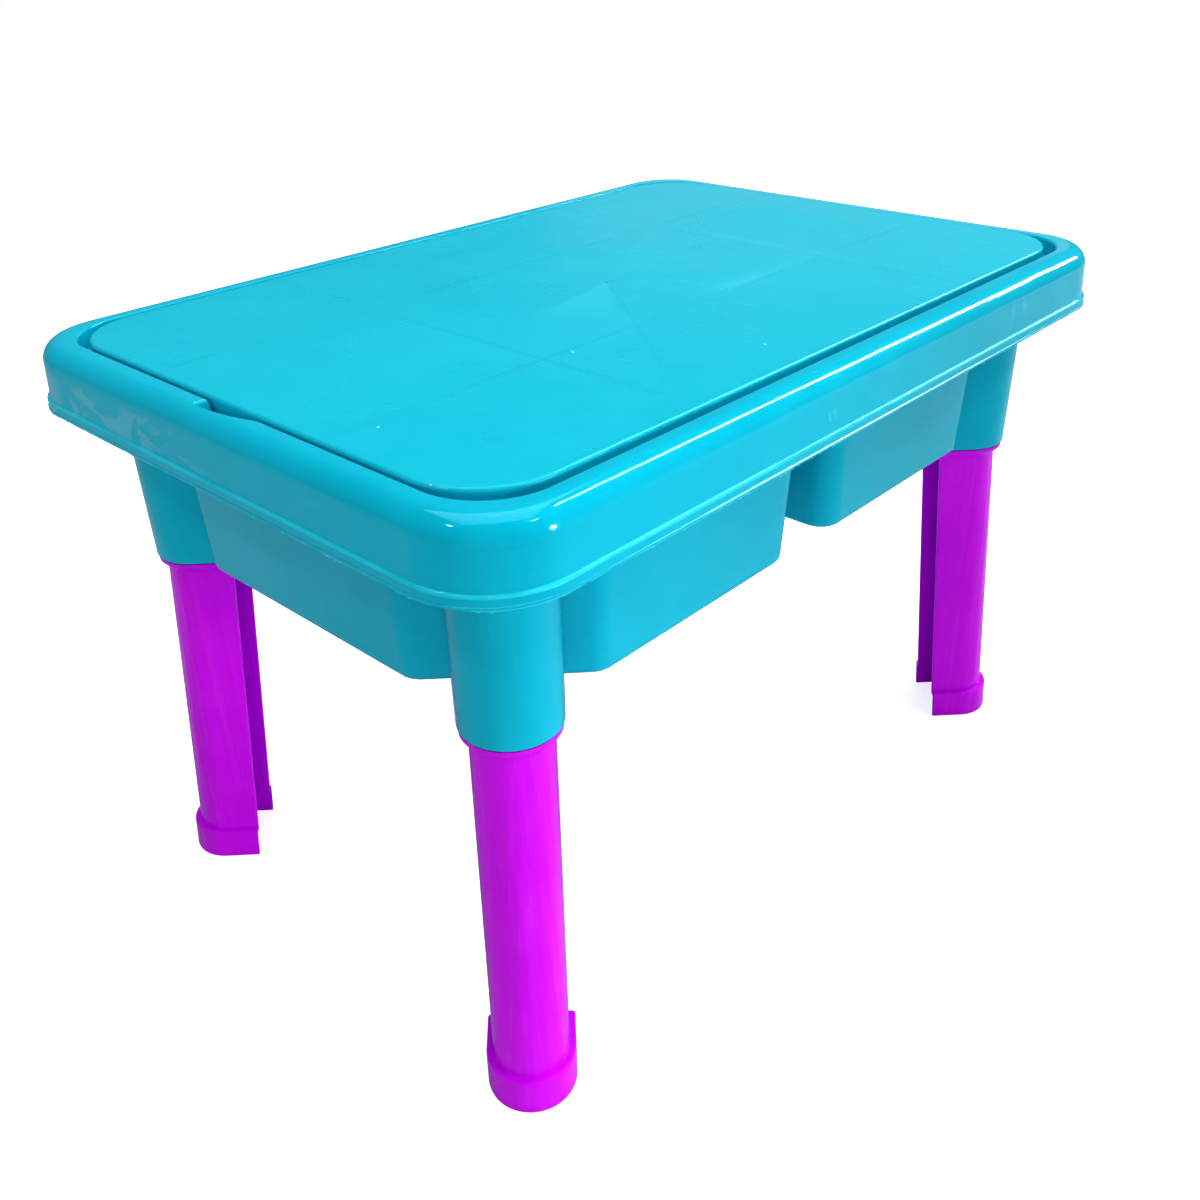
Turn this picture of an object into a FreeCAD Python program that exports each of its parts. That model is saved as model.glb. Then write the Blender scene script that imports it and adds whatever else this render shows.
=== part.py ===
import FreeCAD, Part
import math
import os

from FreeCAD import Vector

# Children's sand and water table.
# Origin: on the floor, under the middle of the tray.  X runs along the long side, Y along the
# short side, Z up.  The finger notch is on the -X side.

# Overall sizes
length = 700.0
width = 485.0
rim_top = 452.0

# Rim of the tray
lip_corner_radius = 57.0
skirt_depth = 44.7
band_height = 7.6
lip_height = 1.2
lip_slope = 0.4
band_inset = 0.6
band_step = 2.0
skirt_lean = 4.3
rim_rounding = 14.0
rim_width = 25.0
rim_edge_radius = 2.0
recess_corner_radius = 44.0
wall = 3.0
ledge_depth = 12.0
core_inset = 49.0
core_overlap = 4.0
core_corner_radius = 8.0

# Basins
basin_floor_depth = 157.0
basin_half_x = 301.0
basin_half_y = 191.0
basin_gap_half = 23.0
basin_chamfer = 83.0
basin_corner_radius = 18.0
basin_draft = math.tan(math.radians(2.5))
basin_edge_radius = 6.0
basin_wall = 3.0

# Leg sockets
socket_x = 276.7
socket_y = 169.9
socket_radius = 32.4
socket_wall = 3.1
socket_inward = 29.5
socket_depth = 167.1
socket_edge_radius = 2.0

# Lid
lid_gap_x = 2.2
lid_gap_y = 6.5
lid_corner_radius = 52.0
lid_proud = 1.2
lid_plate = 3.0
lid_side = 2.6
lid_edge_radius = 2.4
lid_clearance = 0.3
lid_rib_x = 154.5
lid_rib_y = 86.0
lid_rib_thickness = 1.6
lid_rib_height = 6.0
gate_dish_radius = 4.5
gate_dish_depth = 0.6
gate_nub_radius = 1.5
gate_nub_height = 0.5
gate_nub_edge_radius = 0.2

# Finger notch in the rim, steep at its +Y end and running out gently towards -Y
notch_end_y = 22.0
notch_deepest_y = 16.0
notch_half_length = 51.0
notch_reach = 10.0
notch_depth = 8.2
notch_wall = 2.5
notch_end_lean = 20.0
notch_nose_radius = 3.0
notch_nose_rise = 0.05
notch_backing_drop = 2.0
notch_overlap = 0.5

# Legs
leg_wall = 3.0
leg_radius_top = 26.1
leg_radius_foot = 26.0
leg_flat = 28.0
insert_radius = 29.0
insert_flat = 23.4
insert_height = 72.0
insert_taper = 0.5
collar_radius = 31.4
collar_clearance = 0.3
collar_height = 9.0
collar_swell = 5.6
shoe_radius = 30.8
shoe_height = 26.7
shoe_shelf = 3.0
leg_edge_radius = 1.0
shoe_edge_radius = 1.4
leg_step_rise = 0.2
foot_shift_x = 17.8
foot_shift_y = 15.8

# Allowances: how far a cutter runs past what it cuts, and how close an edge must be to be picked
overshoot = 1.0
edge_slack = 0.1
touch = 0.01

corners = {"front_left": (-1, -1), "front_right": (1, -1), "back_right": (1, 1), "back_left": (-1, 1)}


def face_of(edges):
    return Part.Face(Part.Wire(edges))


def rounded_outline(corner_points, radius, z):
    """Closed outline through the corner points, each corner replaced by a tangent arc."""
    count = len(corner_points)
    edges = []
    starts = []
    ends = []
    for i in range(count):
        here = Vector(corner_points[i][0], corner_points[i][1], z)
        before = Vector(corner_points[i - 1][0], corner_points[i - 1][1], z)
        after = Vector(corner_points[(i + 1) % count][0], corner_points[(i + 1) % count][1], z)
        back = (before - here).normalize()
        ahead = (after - here).normalize()
        half = back.getAngle(ahead) / 2.0
        trim = radius / math.tan(half)
        bisector = (back + ahead).normalize()
        middle = here + bisector * (radius / math.sin(half) - radius)
        starts.append(here + back * trim)
        ends.append(here + ahead * trim)
        edges.append(Part.Arc(starts[-1], middle, ends[-1]).toShape())
    outline = []
    for i in range(count):
        outline.append(edges[i])
        outline.append(Part.makeLine(ends[i], starts[(i + 1) % count]))
    return Part.Wire(outline)


def rectangle_corners(half_x, half_y):
    return [(-half_x, -half_y), (half_x, -half_y), (half_x, half_y), (-half_x, half_y)]


def rounded_prism(half_x, half_y, radius, z_low, z_high):
    outline = rounded_outline(rectangle_corners(half_x, half_y), radius, z_low)
    return Part.Face(outline).extrude(Vector(0, 0, z_high - z_low))


def run_around(profile):
    """Carry a section, given as inset from the lip against height, around the rim."""
    centre_x = length / 2 - lip_corner_radius
    centre_y = width / 2 - lip_corner_radius
    pieces = []
    for turn, half_run, reach in ((0, centre_y, length / 2), (90, centre_x, width / 2)):
        for flip in (0, 180):
            side = profile.copy()
            side.translate(Vector(reach, -half_run, 0))
            side = side.extrude(Vector(0, 2 * half_run, 0))
            side.rotate(Vector(0, 0, 0), Vector(0, 0, 1), turn + flip)
            pieces.append(side)
    for sx, sy, turn in ((1, 1, 0), (-1, 1, 90), (-1, -1, 180), (1, -1, 270)):
        corner = profile.copy()
        corner.translate(Vector(lip_corner_radius, 0, 0))
        corner = corner.revolve(Vector(0, 0, 0), Vector(0, 0, 1), 90)
        corner.rotate(Vector(0, 0, 0), Vector(0, 0, 1), turn)
        corner.translate(Vector(sx * centre_x, sy * centre_y, 0))
        pieces.append(corner)
    return pieces[0].fuse(pieces[1:]).removeSplitter()


def rim_point(inset, depth):
    return Vector(-inset, 0, rim_top - depth)


def rounding(radius, inset, depth):
    """Quarter arc from the skirt over to the flat top of the rim."""
    half = radius * (1 - math.sqrt(0.5))
    start = rim_point(inset, depth + radius)
    end = rim_point(inset + radius, depth)
    return Part.Arc(start, rim_point(inset + half, depth + half), end).toShape()


def outer_section():
    """Thin lip, proud band, leaning skirt and rounded top, filled in towards the middle."""
    band = skirt_depth - band_height
    lip_top = skirt_depth - lip_height
    inner = core_inset + core_overlap
    ledge = band_inset + band_step
    slant = band_step * (1 - math.sqrt(0.5))
    band_arc = Part.Arc(
        rim_point(band_inset, band + band_step),
        rim_point(band_inset + slant, band + slant),
        rim_point(ledge, band),
    )
    return face_of([
        Part.makeLine(rim_point(0, skirt_depth), rim_point(0, lip_top)),
        Part.makeLine(rim_point(0, lip_top), rim_point(band_inset, lip_top - lip_slope)),
        Part.makeLine(rim_point(band_inset, lip_top - lip_slope), rim_point(band_inset, band + band_step)),
        band_arc.toShape(),
        Part.makeLine(rim_point(ledge, band), rim_point(skirt_lean, rim_rounding)),
        rounding(rim_rounding, skirt_lean, 0),
        Part.makeLine(rim_point(skirt_lean + rim_rounding, 0), rim_point(inner, 0)),
        Part.makeLine(rim_point(inner, 0), rim_point(inner, skirt_depth)),
        Part.makeLine(rim_point(inner, skirt_depth), rim_point(0, skirt_depth)),
    ])


def under_section():
    """The hollow under the rim, one wall inside the outer section."""
    band = skirt_depth - band_height
    inner = core_inset + core_overlap
    ledge = band_inset + band_step + wall
    inset = skirt_lean + wall
    radius = rim_rounding - wall
    low = skirt_depth + overshoot
    return face_of([
        Part.makeLine(rim_point(wall, low), rim_point(wall, skirt_depth)),
        Part.makeLine(rim_point(wall, skirt_depth), rim_point(ledge, band)),
        Part.makeLine(rim_point(ledge, band), rim_point(inset, rim_rounding)),
        rounding(radius, inset, wall),
        Part.makeLine(rim_point(inset + radius, wall), rim_point(inner, wall)),
        Part.makeLine(rim_point(inner, wall), rim_point(inner, low)),
        Part.makeLine(rim_point(inner, low), rim_point(wall, low)),
    ])


def core(depth_low, depth_high):
    return rounded_prism(
        length / 2 - core_inset,
        width / 2 - core_inset,
        core_corner_radius,
        rim_top - depth_low,
        rim_top - depth_high,
    )


def recess(extra, depth_low):
    return rounded_prism(
        length / 2 - rim_width + extra,
        width / 2 - rim_width + extra,
        recess_corner_radius + extra,
        rim_top - depth_low,
        rim_top,
    )


def rim_and_deck():
    """Rim, skirt and the pan that the lid lies in, its inner top edge rounded."""
    outside = run_around(outer_section()).fuse(core(skirt_depth, 0))
    hollow = run_around(under_section()).fuse(core(skirt_depth + overshoot, wall))
    pan = recess(wall, ledge_depth + wall)
    shell = outside.cut(hollow.cut(pan)).cut(recess(0, ledge_depth)).removeSplitter()
    reach_x = length / 2 - rim_width + edge_slack
    reach_y = width / 2 - rim_width + edge_slack
    edges = [
        e for e in shell.Edges
        if e.BoundBox.ZMin > rim_top - touch and e.BoundBox.XMax < reach_x and e.BoundBox.XMin > -reach_x
        and e.BoundBox.YMax < reach_y and e.BoundBox.YMin > -reach_y
    ]
    return shell.makeFillet(rim_edge_radius, edges)


def basin_corners(side, grow):
    """Plan of one basin on the -X or +X side, its outer corners cut off at 45 degrees."""
    far = basin_half_x + grow
    near = basin_gap_half - grow
    half_y = basin_half_y + grow
    cut = basin_chamfer + grow * (2.0 - math.sqrt(2.0))
    plan = [
        (near, -half_y),
        (far - cut, -half_y),
        (far, -half_y + cut),
        (far, half_y - cut),
        (far - cut, half_y),
        (near, half_y),
    ]
    if side > 0:
        return plan
    return [(-x, y) for x, y in reversed(plan)]


def basin_solid(side, inset, floor_z, top_z, edge_radius):
    bottom_z = rim_top - basin_floor_depth
    low = rounded_outline(
        basin_corners(side, (floor_z - bottom_z) * basin_draft - inset), basin_corner_radius - inset, floor_z
    )
    high = rounded_outline(
        basin_corners(side, (top_z - bottom_z) * basin_draft - inset), basin_corner_radius - inset, top_z
    )
    solid = Part.makeLoft([low, high], True, True)
    floor_edges = [e for e in solid.Edges if e.BoundBox.ZMax < floor_z + touch]
    return solid.makeFillet(edge_radius, floor_edges)


def socket_plan(radius, inward, z):
    """D-shaped plan around the origin, round side towards +X, flat sides running towards -X."""
    arc = Part.Arc(Vector(0, -radius, z), Vector(radius, 0, z), Vector(0, radius, z))
    return face_of([
        arc.toShape(),
        Part.makeLine(Vector(0, radius, z), Vector(-inward, radius, z)),
        Part.makeLine(Vector(-inward, radius, z), Vector(-inward, -radius, z)),
        Part.makeLine(Vector(-inward, -radius, z), Vector(0, -radius, z)),
    ])


def place_at_corner(shape, corner):
    sx, sy = corners[corner]
    placed = shape.copy()
    placed.rotate(Vector(0, 0, 0), Vector(0, 0, 1), math.degrees(math.atan2(sy, sx)))
    placed.translate(Vector(sx * socket_x, sy * socket_y, 0))
    return placed


def socket_outside():
    bottom = rim_top - socket_depth
    top = rim_top - ledge_depth - wall / 2
    solid = socket_plan(socket_radius, socket_inward, bottom).extrude(Vector(0, 0, top - bottom))
    rim_edges = [e for e in solid.Edges if e.BoundBox.ZMax < bottom + touch]
    return solid.makeFillet(socket_edge_radius, rim_edges)


def socket_inside():
    bottom = rim_top - socket_depth - overshoot
    top = rim_top - ledge_depth - wall
    plan = socket_plan(socket_radius - socket_wall, socket_inward - socket_wall, bottom)
    return plan.extrude(Vector(0, 0, top - bottom))


def notch_scoop(extra):
    """Round scoop through the inner edge of the rim, grown by an extra thickness."""
    plan_radius = (notch_half_length ** 2 + notch_reach ** 2) / (2 * notch_reach)
    to_wall = plan_radius - notch_reach
    rise = (plan_radius ** 2 - to_wall ** 2 - notch_depth ** 2) / (2 * notch_depth)
    ball_radius = math.hypot(plan_radius, rise)
    centre_x = -(length / 2 - rim_width) + to_wall
    return Part.makeSphere(ball_radius + extra, Vector(centre_x, notch_deepest_y, rim_top + rise))


def notch_nose():
    """Block with a leaning end and a rounded top edge that stops the scoop at its steep end."""
    top = rim_top + notch_nose_rise
    drop = 2.0 * ledge_depth
    foot_y = notch_end_y - drop * math.tan(math.radians(notch_end_lean))
    far_y = notch_end_y + notch_half_length
    outline = Part.makePolygon([
        Vector(-length / 2, notch_end_y, top),
        Vector(-length / 2, far_y, top),
        Vector(-length / 2, far_y, top - drop),
        Vector(-length / 2, foot_y, top - drop),
        Vector(-length / 2, notch_end_y, top),
    ])
    nose = Part.Face(outline).extrude(Vector(length / 2, 0, 0))
    top_edge = [e for e in nose.Edges if e.BoundBox.ZMin > rim_top and e.BoundBox.YMax < far_y - notch_wall]
    return nose.makeFillet(notch_nose_radius, top_edge)


def notch_cutter():
    """The scoop kept to the rim, so that the deck under the lid stays whole."""
    rim_only = Part.makeBox(
        rim_width + notch_overlap,
        width,
        2.0 * ledge_depth,
        Vector(-length / 2, -width / 2, rim_top - ledge_depth),
    )
    return notch_scoop(0.0).cut(notch_nose()).common(rim_only)


def notch_backing():
    """Material that closes the hollow rim behind the finger notch."""
    reach = notch_reach + notch_wall
    low_y = notch_deepest_y - notch_half_length - notch_wall
    block = Part.makeBox(
        reach,
        notch_end_y + 2.0 * notch_wall - low_y,
        ledge_depth - notch_backing_drop,
        Vector(-(length / 2 - rim_width) - reach, low_y, rim_top - ledge_depth),
    )
    return block.common(notch_scoop(notch_wall))


def make_tray():
    shell = rim_and_deck().fuse(notch_backing())
    sockets = [place_at_corner(socket_outside(), name) for name in corners]
    pockets = [place_at_corner(socket_inside(), name) for name in corners]
    bottom_z = rim_top - basin_floor_depth
    deck_top = rim_top - ledge_depth
    outsides = [basin_solid(s, 0.0, bottom_z, deck_top - wall / 2, basin_edge_radius) for s in (-1, 1)]
    open_top = deck_top + overshoot / 2
    inner_edge_radius = basin_edge_radius - basin_wall
    insides = [
        basin_solid(s, basin_wall, bottom_z + basin_wall, open_top, inner_edge_radius)
        for s in (-1, 1)
    ]
    shell = shell.fuse(sockets).cut(pockets).fuse(outsides).cut(insides + [notch_cutter()])
    return shell.removeSplitter()


def gate_dish(top):
    """Shallow round dish in the middle of the lid, where the plastic entered the mould."""
    ball_radius = (gate_dish_radius ** 2 + gate_dish_depth ** 2) / (2 * gate_dish_depth)
    return Part.makeSphere(ball_radius, Vector(0, 0, top + ball_radius - gate_dish_depth))


def gate_nub(top):
    """Stub left in the dish when the lid was broken off its runner."""
    bottom = top - gate_dish_depth
    nub = Part.makeCylinder(gate_nub_radius, gate_nub_height + wall / 2, Vector(0, 0, bottom - wall / 2))
    return nub.makeFillet(gate_nub_edge_radius, [e for e in nub.Edges if e.BoundBox.ZMin > bottom])


def lid_ribs(top, run_x, run_y):
    """Crossing stiffening ribs under the plate of the lid, two each way."""
    low = top - lid_plate - lid_rib_height
    height = lid_rib_height + lid_plate / 2
    half = lid_rib_thickness / 2
    ribs = []
    for side in (-1, 1):
        ribs.append(Part.makeBox(
            2 * run_x, lid_rib_thickness, height, Vector(-run_x, side * lid_rib_y - half, low)
        ))
        ribs.append(Part.makeBox(
            lid_rib_thickness, 2 * run_y, height, Vector(side * lid_rib_x - half, -run_y, low)
        ))
    return ribs


def make_lid():
    half_x = length / 2 - rim_width - lid_gap_x
    half_y = width / 2 - rim_width - lid_gap_y
    radius = lid_corner_radius
    top = rim_top + lid_proud
    low = rim_top - ledge_depth + lid_clearance
    body = rounded_prism(half_x, half_y, radius, low, top)
    top_edges = [e for e in body.Edges if e.BoundBox.ZMin > top - touch]
    body = body.makeFillet(lid_edge_radius, top_edges)
    hollow = rounded_prism(
        half_x - lid_side, half_y - lid_side, radius - lid_side, low - overshoot, top - lid_plate
    )
    ribs = lid_ribs(top, half_x - lid_side / 2, half_y - lid_side / 2)
    return body.cut(hollow).cut(gate_dish(top)).fuse([gate_nub(top)] + ribs).removeSplitter()


def channel_plan(radius, inner, flat, centre, z):
    """U-shaped plan of a leg, closed round side towards +X and open side towards -X."""
    cx, cy = centre
    soft = leg_edge_radius
    slant = soft * (1.0 - math.sqrt(0.5))

    def at(x, y):
        return Vector(cx + x, cy + y, z)

    def wall_end(side):
        """Free end of one wall, from its outer face to its inner face, with soft corners."""
        outer_y = side * radius
        inner_y = side * inner
        step = side * soft
        return [
            Part.makeLine(at(0, outer_y), at(soft - flat, outer_y)),
            Part.Arc(
                at(soft - flat, outer_y), at(slant - flat, outer_y - side * slant), at(-flat, outer_y - step)
            ).toShape(),
            Part.makeLine(at(-flat, outer_y - step), at(-flat, inner_y + step)),
            Part.Arc(
                at(-flat, inner_y + step), at(slant - flat, inner_y + side * slant), at(soft - flat, inner_y)
            ).toShape(),
            Part.makeLine(at(soft - flat, inner_y), at(0, inner_y)),
        ]

    outer_arc = Part.Arc(at(0, -radius), at(radius, 0), at(0, radius)).toShape()
    inner_arc = Part.Arc(at(0, inner), at(inner, 0), at(0, -inner)).toShape()
    lower_end = [edge.reversed() for edge in reversed(wall_end(-1))]
    return Part.Wire([outer_arc] + wall_end(1) + [inner_arc] + lower_end)


def leg_centre(sx, sy, z):
    """Centre of the leg at a height, in the leg's own plan axes, leaning outwards below the collar."""
    collar_low = rim_top - socket_depth - collar_clearance - collar_height
    share = max(0.0, (collar_low - z) / (collar_low - shoe_height))
    shift_x = sx * foot_shift_x * share
    shift_y = sy * foot_shift_y * share
    turn = math.atan2(sy, sx)
    along = shift_x * math.cos(turn) + shift_y * math.sin(turn)
    across = -shift_x * math.sin(turn) + shift_y * math.cos(turn)
    return (along, across)


def soft_edge(radius, inner, z, toward_top):
    """Plans that round off the outer edge of the shoe at a height, listed from low to high."""
    plans = []
    for degrees in (0, 30, 60, 90):
        inset = shoe_edge_radius * (1.0 - math.cos(math.radians(degrees)))
        drop = shoe_edge_radius * (1.0 - math.sin(math.radians(degrees)))
        level = z - drop if toward_top else z + drop
        plans.append((radius - inset, inner, leg_flat, level))
    return plans if toward_top else plans[::-1]


def leg_levels():
    """Outer radius, inner radius, length of the flats and height of each level, from the floor up."""
    inner = leg_radius_top - leg_wall
    inner_foot = leg_radius_foot - leg_wall
    inner_shoe = shoe_radius - leg_wall
    shelf_low = shoe_height - shoe_shelf
    collar_top = rim_top - socket_depth - collar_clearance
    collar_low = collar_top - collar_height
    collar_bulge = collar_low + collar_swell
    insert_top = collar_top + insert_height
    insert_radius_top = insert_radius - insert_taper
    return (
        soft_edge(shoe_radius, inner_shoe, 0.0, False)
        + [(shoe_radius, inner_shoe, leg_flat, shelf_low)]
        + [(shoe_radius, inner_foot, leg_flat, shelf_low + leg_step_rise)]
        + soft_edge(shoe_radius, inner_foot, shoe_height, True)
        + [(leg_radius_foot, inner_foot, leg_flat, shoe_height + leg_step_rise)]
        + [(leg_radius_top, inner, leg_flat, collar_low)]
        + [(collar_radius, inner, leg_flat, collar_bulge)]
        + [(collar_radius, inner, leg_flat, collar_top - leg_step_rise)]
        + [(insert_radius, inner, insert_flat, collar_top)]
        + [(insert_radius_top, insert_radius_top - leg_wall, insert_flat, insert_top)]
    )


def make_leg(corner):
    sx, sy = corners[corner]
    plans = [
        channel_plan(outer, inner, flat, leg_centre(sx, sy, z), z) for outer, inner, flat, z in leg_levels()
    ]
    return place_at_corner(Part.makeLoft(plans, True, True), corner)


def save(shape, name):
    shape.exportStep(os.path.join("parts", name + ".step"))


os.makedirs("parts", exist_ok=True)
save(make_tray(), "tray")
save(make_lid(), "lid")
for corner_name in corners:
    save(make_leg(corner_name), "leg_" + corner_name)
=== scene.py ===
import math
import random

import bmesh
import bpy
from mathutils import Euler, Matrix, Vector


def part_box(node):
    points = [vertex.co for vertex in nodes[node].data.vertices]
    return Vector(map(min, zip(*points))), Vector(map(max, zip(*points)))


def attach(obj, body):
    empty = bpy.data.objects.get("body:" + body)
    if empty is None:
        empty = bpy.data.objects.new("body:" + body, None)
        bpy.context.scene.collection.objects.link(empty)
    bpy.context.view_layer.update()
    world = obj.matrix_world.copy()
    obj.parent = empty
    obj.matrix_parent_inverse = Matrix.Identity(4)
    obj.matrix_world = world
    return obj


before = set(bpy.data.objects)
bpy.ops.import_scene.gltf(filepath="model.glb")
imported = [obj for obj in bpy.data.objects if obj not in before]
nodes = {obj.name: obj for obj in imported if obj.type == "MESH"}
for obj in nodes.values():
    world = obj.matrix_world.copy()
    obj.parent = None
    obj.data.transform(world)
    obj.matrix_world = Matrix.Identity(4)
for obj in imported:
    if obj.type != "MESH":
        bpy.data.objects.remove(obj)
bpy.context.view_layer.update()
scene = bpy.context.scene

LEGS = ("leg_front_left", "leg_front_right", "leg_back_right", "leg_back_left")

# Metres, as in the frame: the rim of the tray and the top of the lid.
TRAY_LOW, TRAY_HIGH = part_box("tray")
LID_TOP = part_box("lid")[1].z
RIM_TOP = TRAY_HIGH.z
LIP_DEPTH = 0.0447
LEDGE_DEPTH = 0.0379
SPLIT_DEPTH = 0.0142
LIP_CORNER_RADIUS = 0.0568
FRONT_SKIRT_Y = TRAY_LOW.y + 0.0035


# ---------------------------------------------------------------- node helpers

class Graph:
    """A material and short calls that add nodes to it."""

    def __init__(self, name):
        self.material = bpy.data.materials.new(name)
        self.material.use_nodes = True
        self.tree = self.material.node_tree
        self.shader = self.tree.nodes["Principled BSDF"]
        self.place = self.node("ShaderNodeTexCoord").outputs["Object"]

    def node(self, kind, **values):
        made = self.tree.nodes.new(kind)
        for key, value in values.items():
            setattr(made, key, value)
        return made

    def plug(self, source, target):
        if hasattr(source, "is_output"):
            self.tree.links.new(source, target)
        else:
            target.default_value = source

    def moved(self, scale=(1, 1, 1), turn=(0, 0, 0), shift=(0, 0, 0)):
        """The place on the object, scaled, turned and shifted."""
        mapping = self.node("ShaderNodeMapping")
        mapping.inputs["Location"].default_value = shift
        mapping.inputs["Rotation"].default_value = turn
        mapping.inputs["Scale"].default_value = scale
        self.plug(self.place, mapping.inputs["Vector"])
        return mapping.outputs["Vector"]

    def noise(self, scale, detail=3.0, rough=0.5, vector=None, twist=0.0):
        made = self.node("ShaderNodeTexNoise")
        made.inputs["Scale"].default_value = scale
        made.inputs["Detail"].default_value = detail
        made.inputs["Roughness"].default_value = rough
        made.inputs["Distortion"].default_value = twist
        self.plug(vector or self.place, made.inputs["Vector"])
        return made.outputs["Fac"]

    def parts(self, vector=None):
        """The three coordinates of a vector, by default of the place itself."""
        made = self.node("ShaderNodeSeparateXYZ")
        self.plug(vector or self.place, made.inputs["Vector"])
        return made.outputs

    def cells(self, scale, vector):
        made = self.node("ShaderNodeTexVoronoi", feature="F1")
        made.inputs["Scale"].default_value = scale
        self.plug(vector, made.inputs["Vector"])
        return made

    def remap(self, value, low, high, out_low=0.0, out_high=1.0):
        """A soft step from out_low to out_high as the value goes from low to high."""
        made = self.node("ShaderNodeMapRange", interpolation_type="SMOOTHSTEP")
        levels = (("From Min", low), ("From Max", high), ("To Min", out_low), ("To Max", out_high))
        for key, number in levels:
            made.inputs[key].default_value = number
        self.plug(value, made.inputs["Value"])
        return made.outputs["Result"]

    def math(self, operation, a, b=0.0, clamp=False):
        made = self.node("ShaderNodeMath", operation=operation, use_clamp=clamp)
        self.plug(a, made.inputs[0])
        self.plug(b, made.inputs[1])
        return made.outputs[0]

    def times(self, a, b):
        return self.math("MULTIPLY", a, b)

    def most(self, *values):
        total = values[0]
        for value in values[1:]:
            total = self.math("MAXIMUM", total, value)
        return total

    def measure(self, operation, a, b):
        """A number from two vectors, such as their DOT_PRODUCT or DISTANCE."""
        made = self.node("ShaderNodeVectorMath", operation=operation)
        self.plug(a, made.inputs[0])
        self.plug(b, made.inputs[1])
        return made.outputs["Value"]

    def mix(self, factor, a, b):
        made = self.node("ShaderNodeMix", data_type="RGBA")
        self.plug(factor, made.inputs["Factor"])
        self.plug(a, made.inputs[6])
        self.plug(b, made.inputs[7])
        return made.outputs[2]

    def bump(self, height, strength, distance, normal=None):
        made = self.node("ShaderNodeBump")
        made.inputs["Strength"].default_value = strength
        made.inputs["Distance"].default_value = distance
        self.plug(height, made.inputs["Height"])
        if normal is not None:
            self.plug(normal, made.inputs["Normal"])
        return made.outputs["Normal"]


def solid(red, green, blue):
    return (red, green, blue, 1.0)


# ---------------------------------------------------------------- marks of moulding and use

# Direction, lane width and greatest length of three families of scratches.
SCRATCH_FAMILIES = (
    ((0.5, 0.9, 0.2), 0.0005, 0.030),
    ((1.1, 0.2, 1.3), 0.0006, 0.045),
    ((0.3, 0.4, 2.5), 0.0004, 0.020),
)


def scratches(g, seed, share):
    """Short straight scratches, each in a narrow lane of its own."""
    found = []
    for turn, lane, reach in SCRATCH_FAMILIES:
        lanes = g.moved(scale=(1 / lane, 1 / reach, 1 / reach), turn=turn, shift=(seed, seed, 0))
        x, y, z = g.parts(lanes)
        cell = g.node("ShaderNodeCombineXYZ")
        for value, socket in zip((x, y, z), cell.inputs):
            g.plug(g.math("FLOOR", value), socket)
        lottery = g.node("ShaderNodeTexWhiteNoise", noise_dimensions="3D")
        g.plug(cell.outputs["Vector"], lottery.inputs["Vector"])
        chosen = g.math("GREATER_THAN", lottery.outputs["Value"], 1.0 - share)
        across = g.math("ABSOLUTE", g.math("SUBTRACT", g.math("FRACT", x), 0.5))
        along = g.math("ABSOLUTE", g.math("SUBTRACT", g.math("FRACT", y), 0.5))
        line = g.times(g.remap(across, 0.10, 0.42, 1.0, 0.0), g.remap(along, 0.15, 0.48, 1.0, 0.0))
        found.append(g.times(line, chosen))
    return g.most(*found)


def specks(g, spacing, size, seed, share=0.5):
    """Scattered pin-head pimples, one in some of the cells of the given spacing."""
    cells = g.cells(1.0 / spacing, g.moved(shift=(seed, seed, seed)))
    dot = g.remap(cells.outputs["Distance"], 0.3 * size / spacing, size / spacing, 1.0, 0.0)
    lottery = g.measure("DOT_PRODUCT", cells.outputs["Color"], (1, 0, 0))
    chosen = g.remap(lottery, 1.0 - share, 1.02 - share)
    return g.times(dot, chosen)


def edge_wear_and_highlight(g, radius):
    """1 on outer and inner edges, 0 on flat ground: paler there for wear and as a painted edge highlight.
    """
    bevel = g.node("ShaderNodeBevel", samples=4)
    bevel.inputs["Radius"].default_value = radius
    flat = g.node("ShaderNodeNewGeometry").outputs["Normal"]
    alike = g.measure("DOT_PRODUCT", bevel.outputs["Normal"], flat)
    return g.remap(alike, 0.80, 0.995, 1.0, 0.0)


def occlusion_shade(g, reach):
    """Painted shade: 1 in narrow gaps and inner corners where little light reaches, in uneven patches."""
    hollow = g.node("ShaderNodeAmbientOcclusion", samples=6)
    hollow.inputs["Distance"].default_value = reach
    depth = g.remap(hollow.outputs["AO"], 0.25, 0.85, 1.0, 0.0)
    return g.times(depth, g.remap(g.noise(60.0, 3.0, 0.6), 0.3, 0.7, 0.4, 1.0))


def smudges(g, seed, amount):
    """Large dull patches left by hands and packing."""
    broad = g.noise(6.0, 2.0, 0.4, g.moved(scale=(1, 1, 1.6), shift=(seed, 0, seed)), 0.5)
    return g.remap(broad, 0.50 - amount, 0.90 - amount)


def near_spots(g, spots):
    """1 on small round spots, each given as x, y, z and radius in metres."""
    found = []
    for x, y, z, radius in spots:
        away = g.math("DIVIDE", g.measure("DISTANCE", g.place, (x, y, z)), radius)
        found.append(g.remap(away, 0.35, 1.0, 1.0, 0.0))
    return g.most(*found)


def no_marks(g):
    return 0.0


class Finish:
    """The colours, gloss and marks of one moulded plastic."""

    tint = (0.35, 0.94, 1.0)
    wave = 0.1
    wave_stretch = (1, 1, 1)
    scratch_share = 0.002
    light_amount = 0.4
    dark_amount = 0.4
    # Greyish tone of painted reflections on a skirt.
    reflection_colour = (0.20, 0.52, 0.66)
    pips = ()

    def __init__(self, name, base, deep, pale, gloss, seed, **more):
        self.name = name
        self.base = base
        self.deep = deep
        self.pale = pale
        self.gloss = gloss
        self.seed = seed
        self.light_marks = no_marks
        self.dark_marks = no_marks
        self.reflection_marks = no_marks
        for key, value in more.items():
            setattr(self, key, value)


# Width of the edges that are paler, for wear and as a painted edge highlight.
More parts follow.
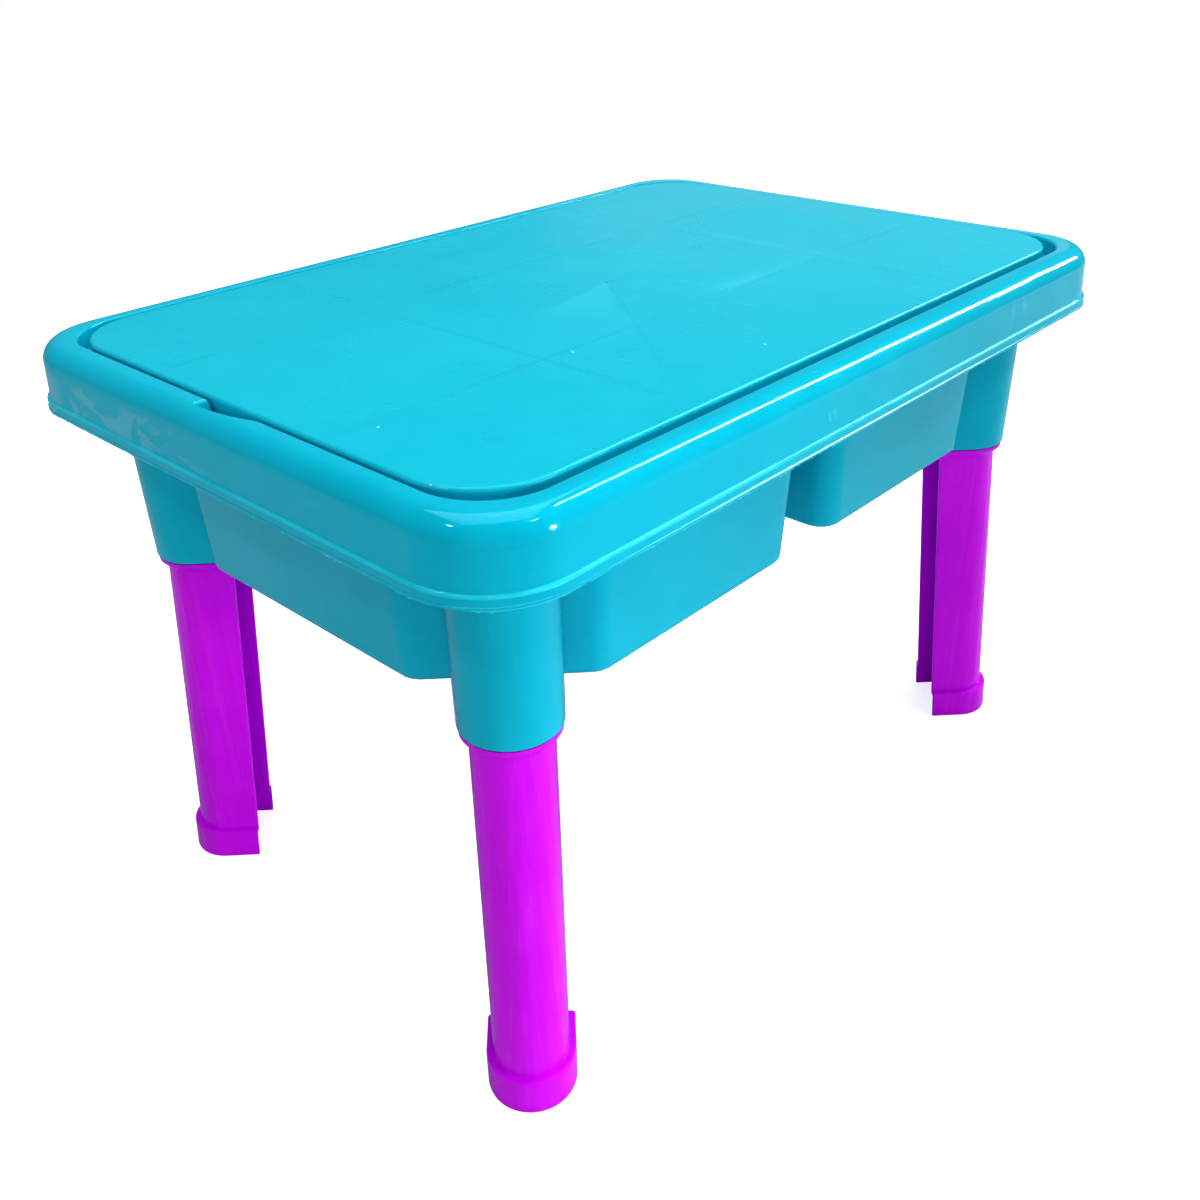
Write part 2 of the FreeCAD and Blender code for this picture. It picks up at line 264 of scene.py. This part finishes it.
EDGE_WEAR_AND_HIGHLIGHT_RADIUS = 0.0012
# Reach of the painted shade in gaps and inner corners.
OCCLUSION_SHADE_REACH = 0.006
SMUDGE_SHARE = 0.05
SPECK_SPACING = 0.085
SPECK_SIZE = 0.0009
SPECK_COLOUR = (0.55, 0.92, 0.95)

# How much duller each kind of mark makes the plastic.
DULLING = (("lines", 0.08), ("worn_and_lit_edges", 0.08), ("dull", 0.09), ("crevice_shade", 0.25), ("skirt_reflection", 0.14), ("dark", 0.06))


def find_marks(g, look):
    """How strong each kind of mark is at every place, by name."""
    seed = look.seed
    patchy = g.remap(g.noise(85.0, 3.0, 0.6), 0.35, 0.75, 0.15, 1.0)
    dots = specks(g, SPECK_SPACING, SPECK_SIZE, seed)
    if look.pips:
        dots = g.most(dots, near_spots(g, look.pips))
    return {
        "mottled": g.remap(g.noise(30.0, 2.0, 0.45, g.moved(shift=(0, seed, 0))), 0.25, 0.85),
        "light": look.light_marks(g),
        "dark": look.dark_marks(g),
        # Painted reflections on the -X skirt of the tray.
        "skirt_reflection": look.reflection_marks(g),
        "lines": scratches(g, seed, look.scratch_share),
        # Edges: wear and a painted edge highlight.
        "worn_and_lit_edges": g.times(edge_wear_and_highlight(g, EDGE_WEAR_AND_HIGHLIGHT_RADIUS), patchy),
        "dull": smudges(g, seed, SMUDGE_SHARE),
        "dots": dots,
        # Painted shade in gaps and inner corners, from ambient occlusion.
        "crevice_shade": occlusion_shade(g, OCCLUSION_SHADE_REACH),
    }


def colour(g, look, marks):
    """Colour that drifts between two tones, with each kind of mark laid over it in turn."""
    drift = g.remap(g.noise(3.2, 4.0, 0.55, g.moved(shift=(look.seed, 0, 0)), 0.6), 0.30, 0.72)
    body = g.mix(drift, solid(*look.deep), solid(*look.base))
    layers = (
        ("mottled", 0.08, look.pale),
        # Pale marks; on the tray mostly a painted highlight along the ledge, on the lid partly painted
        # light of its warps.
        ("light", look.light_amount, look.pale),
        # Darker marks; on the lid these include a painted shade line from the gate.
        ("dark", look.dark_amount, [0.70 * c for c in look.deep]),
        # Painted reflections, greyish, on the tray's -X skirt.
        ("skirt_reflection", 0.42, look.reflection_colour),
        ("lines", 0.14, look.pale),
        # Paler edges: wear and a painted edge highlight.
        ("worn_and_lit_edges", 0.30, look.pale),
        ("dull", 0.05, look.pale),
        ("dots", 0.60, SPECK_COLOUR),
        # Painted shade: darker colour in gaps and inner corners.
        ("crevice_shade", 0.28, [0.45 * c + 0.01 for c in look.deep]),
    )
    for name, amount, tone in layers:
        body = g.mix(g.times(marks[name], amount), body, solid(*tone))
    return body


def roughness(g, look, marks):
    """Gloss that varies a little and is duller under the marks."""
    unevenness = g.noise(11.0, 2.0, 0.45, g.moved(shift=(look.seed, look.seed, 0)))
    rough = g.remap(unevenness, 0.2, 0.8, look.gloss - 0.02, look.gloss + 0.04)
    for name, amount in DULLING:
        rough = g.math("ADD", rough, g.times(marks[name], amount), clamp=True)
    return rough


def relief(g, look, marks):
    """Long moulding waves, a fine skin, sunk dark marks and raised pimples."""
    ripple = g.noise(15.0, 2.0, 0.4, g.moved(scale=look.wave_stretch, shift=(look.seed, 0, look.seed)))
    normal = g.bump(ripple, look.wave, 0.01)
    normal = g.bump(g.noise(110.0, 1.0, 0.4), 0.01, 0.001, normal)
    normal = g.bump(marks["dark"], 0.06, -0.0005, normal)
    return g.bump(marks["dots"], 0.8, 0.0005, normal)


def moulded_plastic(look):
    """Glossy injection-moulded plastic with all its marks."""
    g = Graph(look.name)
    marks = find_marks(g, look)
    g.plug(colour(g, look, marks), g.shader.inputs["Base Color"])
    g.plug(roughness(g, look, marks), g.shader.inputs["Roughness"])
    g.plug(relief(g, look, marks), g.shader.inputs["Normal"])
    g.shader.inputs["IOR"].default_value = 1.49
    g.shader.inputs["Specular IOR Level"].default_value = 0.42
    g.shader.inputs["Specular Tint"].default_value = solid(*look.tint)
    return g.material


# ---------------------------------------------------------------- marks of the lid

# The ribs under the lid, in metres from its middle, and the sink lines over them.
RIB_X = 0.1545
RIB_Y = 0.086
SINK_HALF_WIDTH = 0.0006
SINK_FADE = 0.003


def band_around(g, value, middle, half_width, soft):
    """1 where a value lies within half_width of the middle, fading over the soft distance."""
    away = g.math("ABSOLUTE", g.math("SUBTRACT", value, middle))
    return g.remap(away, half_width, half_width + soft, 1.0, 0.0)


def polar_fan(g, middle_degrees, half_degrees, reach):
    """A fan around the gate, fading outwards."""
    angle = math.radians(middle_degrees)
    along = g.measure("DOT_PRODUCT", g.place, (math.cos(angle), math.sin(angle), 0))
    sideways = g.measure("DOT_PRODUCT", g.place, (-math.sin(angle), math.cos(angle), 0))
    across = g.math("ABSOLUTE", sideways)
    slope = g.math("DIVIDE", across, g.math("MAXIMUM", along, 0.001))
    edge = math.tan(math.radians(half_degrees))
    inside = g.remap(slope, 0.55 * edge, edge, 1.0, 0.0)
    return g.times(inside, g.remap(along, 0.2 * reach, reach, 1.0, 0.0))


def lid_light_marks(g):
    """Pale fans around the gate, the short ones flow marks and the long ones painted light over the lid's
    slight warps, and pale haze beside the ribs.
    """
    x, y, z = g.parts()
    cloudy = g.remap(g.noise(16.0, 2.0, 0.5), 0.25, 0.75, 0.3, 1.0)
    fans = g.most(polar_fan(g, -151, 22, 0.13), g.times(polar_fan(g, -62, 30, 0.10), 0.4))
    # Painted light: long pale fans over the lid's slight warps.
    warp_light_fans = g.times(g.most(polar_fan(g, 20, 12, 0.34), polar_fan(g, 118, 16, 0.24)), 0.25)
    haze_y = g.times(band_around(g, y, -RIB_Y + 0.009, 0.002, 0.012), band_around(g, x, 0.09, 0.03, 0.06))
    haze_x = g.times(band_around(g, x, RIB_X + 0.008, 0.002, 0.010), band_around(g, y, -0.02, 0.05, 0.07))
    return g.times(g.most(fans, warp_light_fans, g.times(haze_y, 0.8), g.times(haze_x, 0.5)), cloudy)


def lid_dark_marks(g):
    """Sink lines over the ribs under the lid and one painted shade line running out from the gate along a
    slight warp of the lid.
    """
    x, y, z = g.parts()
    patchy = g.remap(g.noise(9.0, 3.0, 0.6), 0.34, 0.62, 0.10, 1.0)
    over_ribs = [
        band_around(g, value, middle, SINK_HALF_WIDTH, SINK_FADE)
        for value, middle in ((x, RIB_X), (x, -RIB_X), (y, RIB_Y), (y, -RIB_Y))
    ]
    sinks = g.times(g.most(*over_ribs), patchy)
    # Painted shade: a dark line from the gate along a warp of the lid.
    warp_shade_line = g.times(polar_fan(g, -127.5, 1.2, 0.30), 0.6)
    return g.most(sinks, warp_shade_line)


# Pimples on top of the lid: x, y, z and radius.
LID_PIPS = (
    (-0.133, -0.091, LID_TOP, 0.0016),
    (-0.131, -0.088, LID_TOP, 0.0011),
    (-0.045, -0.176, LID_TOP, 0.0013),
    (-0.290, -0.094, LID_TOP, 0.0014),
    (-0.320, -0.173, LID_TOP, 0.0013),
    (-0.001, -0.003, LID_TOP, 0.0015),
)


# ---------------------------------------------------------------- marks of the tray

def tray_skirt_reflections(g):
    """Painted reflections on the -X skirt of the rim, greyish and a little duller, solid at its far end
    and streaky along it.
    """
    x, y, z = g.parts()
    swirl = g.noise(24.0, 3.0, 0.5, g.moved(scale=(1, 0.75, 1.5), turn=(0.7, 0, 0)), 2.4)
    streaks = g.times(g.remap(swirl, 0.49, 0.56), g.remap(y, -0.03, 0.08))
    far_end = g.remap(y, 0.172, 0.186)
    near_skirt = g.remap(x, TRAY_LOW.x + 0.0065, TRAY_LOW.x + 0.0095, 1.0, 0.0)
    below_rounding = g.remap(z, RIM_TOP - 0.0195, RIM_TOP - 0.0145, 1.0, 0.0)
    above_band = g.remap(z, RIM_TOP - 0.0380, RIM_TOP - 0.0365)
    on_skirt = g.times(near_skirt, below_rounding)
    return g.times(g.times(g.most(streaks, far_end), on_skirt), above_band)


# Rubbed patches on the front skirt: x, y, z and radius.
TRAY_RUBS = (
    (0.176, FRONT_SKIRT_Y, RIM_TOP - 0.023, 0.012),
    (0.196, FRONT_SKIRT_Y, RIM_TOP - 0.019, 0.009),
    (0.235, FRONT_SKIRT_Y, RIM_TOP - 0.018, 0.008),
    (-0.060, FRONT_SKIRT_Y + 0.001, RIM_TOP - 0.027, 0.007),
)


def tray_ledge_highlight_and_rubs(g):
    """A painted highlight along the rounded ledge above the band, and light rubbed patches on the front
    skirt.
    """
    x, y, z = g.parts()
    # Painted highlight: a bright line on the rounded ledge above the band.
    ledge = band_around(g, z, RIM_TOP - LEDGE_DEPTH, 0.0006, 0.0008)
    ledge = g.times(ledge, g.remap(g.noise(30.0, 3.0, 0.5), 0.3, 0.6, 0.45, 1.0))
    hairy = g.noise(90.0, 3.0, 0.7, g.moved(scale=(1, 1, 0.3), turn=(0, 0.9, 0)), 0.6)
    rubbed = g.times(near_spots(g, TRAY_RUBS), g.remap(hairy, 0.50, 0.66))
    return g.most(ledge, g.times(rubbed, 0.9))


def tray_dark_marks(g):
    """Thin mould split line a little below the rounding of the rim."""
    x, y, z = g.parts()
    line = band_around(g, z, RIM_TOP - SPLIT_DEPTH, 0.0001, 0.0004)
    return g.times(line, g.remap(g.noise(14.0, 3.0, 0.6), 0.45, 0.65, 0.0, 0.7))


# ---------------------------------------------------------------- marks of the legs

def leg_dark_marks(g):
    """Dark vertical drag marks that run down from the collar."""
    x, y, z = g.parts()
    streaks = g.noise(1.0, 3.0, 0.6, g.moved(scale=(260, 260, 5)))
    upper = g.remap(z, 0.13, 0.27)
    return g.times(g.times(g.remap(streaks, 0.56, 0.70), upper), 0.8)


def leg_light_marks(g):
    """Pale vertical flow streaks."""
    streaks = g.noise(1.0, 3.0, 0.6, g.moved(scale=(170, 170, 3), shift=(3, 1, 0)))
    return g.times(g.remap(streaks, 0.56, 0.72), 0.35)


# ---------------------------------------------------------------- the four finishes

tray_look = moulded_plastic(Finish(
    "tray_plastic",
    base=(0.0, 0.46, 0.62),
    deep=(0.0, 0.42, 0.58),
    pale=(0.03, 0.66, 0.80),
    gloss=0.08,
    seed=2.0,
    wave=0.10,
    # Strong pale layer for the painted ledge highlight.
    light_amount=0.75,
    reflection_marks=tray_skirt_reflections,
    light_marks=tray_ledge_highlight_and_rubs,
    dark_marks=tray_dark_marks,
))
flash_look = moulded_plastic(Finish(
    "flash_plastic",
    base=(0.04, 0.62, 0.74),
    deep=(0.02, 0.55, 0.68),
    pale=(0.30, 0.85, 0.92),
    gloss=0.20,
    seed=3.0,
))
lid_look = moulded_plastic(Finish(
    "lid_plastic",
    base=(0.0, 0.48, 0.62),
    deep=(0.0, 0.455, 0.60),
    pale=(0.05, 0.64, 0.80),
    gloss=0.24,
    seed=5.0,
    wave=0.04,
    scratch_share=0.0003,
    light_marks=lid_light_marks,
    dark_marks=lid_dark_marks,
    dark_amount=0.20,
    pips=LID_PIPS,
))
leg_look = moulded_plastic(Finish(
    "leg_plastic",
    base=(0.66, 0.0, 0.88),
    deep=(0.57, 0.0, 0.80),
    pale=(0.86, 0.06, 0.97),
    gloss=0.13,
    seed=9.0,
    wave=0.14,
    wave_stretch=(10, 10, 0.35),
    tint=(1.0, 0.40, 1.0),
    light_marks=leg_light_marks,
    dark_marks=leg_dark_marks,
))


def dress(node, material):
    """Give a carried-over CAD node its finish."""
    data = nodes[node].data
    data.materials.clear()
    data.materials.append(material)
    for face in data.polygons:
        face.material_index = 0
        face.use_smooth = True


dress("tray", tray_look)
dress("lid", lid_look)
for leg in LEGS:
    dress(leg, leg_look)


# ---------------------------------------------------------------- pieces

def rounded_loop(half_x, half_y, radius, step):
    """Points around a rounded rectangle, evenly spaced, with the outward direction at each."""
    points = []
    straight_x = half_x - radius
    straight_y = half_y - radius
    sides = (
        (1, -1, 2 * straight_y, 0),
        (1, 1, 2 * straight_x, 90),
        (-1, 1, 2 * straight_y, 180),
        (-1, -1, 2 * straight_x, 270),
    )
    for sx, sy, run, turn in sides:
        out = Vector((math.cos(math.radians(turn)), math.sin(math.radians(turn))))
        along = Vector((-out.y, out.x))
        corner = Vector((sx * straight_x, sy * straight_y))
        count = max(1, int(run / step))
        for i in range(count):
            points.append((corner + out * radius + along * (run * i / count), out))
        centre = corner + along * run
        bends = max(1, int(radius * math.pi / 2 / step))
        for i in range(bends):
            angle = math.radians(turn) + math.pi / 2 * i / bends
            direction = Vector((math.cos(angle), math.sin(angle)))
            points.append((centre + direction * radius, direction))
    return points


FLASH_INSET = 0.0002
FLASH_STEP = 0.0016
FLASH_THICKNESS = 0.0005
FLASH_ROOT = 0.0004
FLASH_LEAST = 0.0001
FLASH_START = 0.0003
FLASH_MOST = 0.0006
FLASH_JITTER = 0.0002
WHISKER_SHARE = 0.05
WHISKER_LENGTHS = (0.0003, 0.0010)


def lip_flash():
    """The thin ragged flash left by the mould under the lip of the tray."""
    half_x = (TRAY_HIGH.x - TRAY_LOW.x) / 2 - FLASH_INSET
    half_y = (TRAY_HIGH.y - TRAY_LOW.y) / 2 - FLASH_INSET
    lip_z = RIM_TOP - LIP_DEPTH
    root_z = lip_z + FLASH_ROOT
    rng = random.Random(41)
    mesh = bmesh.new()
    rings = []
    drop = FLASH_START
    for point, out in rounded_loop(half_x, half_y, LIP_CORNER_RADIUS, FLASH_STEP):
        wander = rng.uniform(-FLASH_JITTER, FLASH_JITTER)
        drop = min(FLASH_MOST, max(FLASH_LEAST, drop + wander))
        whisker = rng.uniform(*WHISKER_LENGTHS) if rng.random() < WHISKER_SHARE else 0.0
        tip_z = lip_z - drop - whisker
        inner = point - out * FLASH_THICKNESS
        rings.append([
            mesh.verts.new((point.x, point.y, root_z)),
            mesh.verts.new((point.x, point.y, tip_z)),
            mesh.verts.new((inner.x, inner.y, tip_z)),
            mesh.verts.new((inner.x, inner.y, root_z)),
        ])
    for here, ahead in zip(rings, rings[1:] + rings[:1]):
        for k in range(4):
            following = (k + 1) % 4
            mesh.faces.new((here[k], here[following], ahead[following], ahead[k]))
    bmesh.ops.recalc_face_normals(mesh, faces=mesh.faces)
    data = bpy.data.meshes.new("lip_flash")
    mesh.to_mesh(data)
    mesh.free()
    piece = bpy.data.objects.new("lip_flash", data)
    scene.collection.objects.link(piece)
    data.materials.append(flash_look)
    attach(piece, "tray_body")


lip_flash()


# ---------------------------------------------------------------- stage, lights, camera

FLOOR_HALF = 14.0


def stage_floor():
    """A plain pale floor, paler to the camera than to the light that it throws back."""
    mesh = bmesh.new()
    signs = ((-1, -1), (1, -1), (1, 1), (-1, 1))
    mesh.faces.new([mesh.verts.new((sx * FLOOR_HALF, sy * FLOOR_HALF, 0.0)) for sx, sy in signs])
    data = bpy.data.meshes.new("floor")
    mesh.to_mesh(data)
    mesh.free()
    floor = bpy.data.objects.new("floor", data)
    scene.collection.objects.link(floor)
    g = Graph("floor_paint")
    tone = g.remap(g.noise(2.0, 3.0, 0.5), 0.3, 0.7)
    paint = g.mix(tone, solid(0.86, 0.86, 0.86), solid(0.88, 0.88, 0.88))
    path = g.node("ShaderNodeLightPath").outputs
    paint = g.mix(path["Is Glossy Ray"], paint, solid(0.40, 0.42, 0.44))
    paint = g.mix(path["Is Diffuse Ray"], paint, solid(0.58, 0.58, 0.58))
    g.plug(paint, g.shader.inputs["Base Color"])
    g.shader.inputs["Roughness"].default_value = 0.9
    g.shader.inputs["Specular IOR Level"].default_value = 0.1
    g.shader.inputs["Emission Color"].default_value = solid(1.0, 1.0, 1.0)
    g.plug(g.times(path["Is Camera Ray"], 0.60), g.shader.inputs["Emission Strength"])
    data.materials.append(g.material)


def area_light(name, place, target, size_x, size_y, power, mirrored=True, spread=180):
    """A rectangular lamp in watts that faces its target; spread is in degrees."""
    data = bpy.data.lights.new(name, "AREA")
    data.shape = "RECTANGLE"
    data.size = size_x
    data.size_y = size_y
    data.energy = power
    data.spread = math.radians(spread)
    lamp = bpy.data.objects.new(name, data)
    scene.collection.objects.link(lamp)
    lamp.location = place
    lamp.rotation_euler = (Vector(target) - Vector(place)).to_track_quat("-Z", "Y").to_euler()
    lamp.visible_glossy = mirrored


def world_light(diffuse_level, reflected_level, seen_level):
    """Even light all round, dimmer in reflections and pale where it is seen behind the floor."""
    world = bpy.data.worlds.new("studio")
    world.use_nodes = True
    tree = world.node_tree
    background = tree.nodes["Background"]
    path = tree.nodes.new("ShaderNodeLightPath")
    level = tree.nodes.new("ShaderNodeMapRange")
    level.inputs["To Min"].default_value = diffuse_level
    level.inputs["To Max"].default_value = reflected_level
    tree.links.new(path.outputs["Is Glossy Ray"], level.inputs["Value"])
    seen = tree.nodes.new("ShaderNodeMapRange")
    seen.inputs["To Max"].default_value = seen_level
    tree.links.new(path.outputs["Is Camera Ray"], seen.inputs["Value"])
    tree.links.new(level.outputs["Result"], seen.inputs["To Min"])
    tree.links.new(seen.outputs["Result"], background.inputs["Strength"])
    background.inputs["Color"].default_value = solid(0.95, 0.98, 1.0)
    scene.world = world


stage_floor()
world_light(0.28, 0.14, 0.92)
area_light("overhead", (0.2, 0.3, 3.4), (0, 0, 0.3), 3.0, 3.0, 58)
area_light("tall_window", (3.06, -0.94, 2.75), (0, -0.1, 0.45), 0.34, 2.7, 92)
area_light("wall_glow", (3.5, 2.1, 1.15), (0.2, 0, 0.45), 2.2, 0.6, 1.2)
area_light("front_fill", (2.0, -2.3, 0.6), (0, 0, 0.25), 2.4, 1.2, 15, mirrored=False)
area_light("left_fill", (-2.3, -1.7, 0.8), (0, 0, 0.3), 2.0, 1.2, 15, mirrored=False)
area_light("leg_strip", (0.42, -1.75, 0.4), (-0.30, -0.21, 0.10), 0.10, 0.8, 0.7, spread=30)
area_light("lamp_left", (-1.75, 0.22, 2.45), (-0.33, -0.2, 0.45), 0.26, 0.10, 6)
area_light("lamp_front", (0.30, -1.60, 2.35), (-0.31, -0.23, 0.45), 0.36, 0.10, 6)

CAMERA_PLACE = (-0.64429, -0.59199, 0.69480)
CAMERA_TURN_DEGREES = (59.345, 1.341, -47.42)

camera_data = bpy.data.cameras.new("camera")
camera_data.lens = 35.1
camera_data.sensor_width = 36.0
camera = bpy.data.objects.new("camera", camera_data)
scene.collection.objects.link(camera)
camera.location = CAMERA_PLACE
camera.rotation_euler = Euler([math.radians(turn) for turn in CAMERA_TURN_DEGREES], "XYZ")
scene.camera = camera
scene.view_settings.view_transform = "Standard"
scene.view_settings.look = "Medium High Contrast"
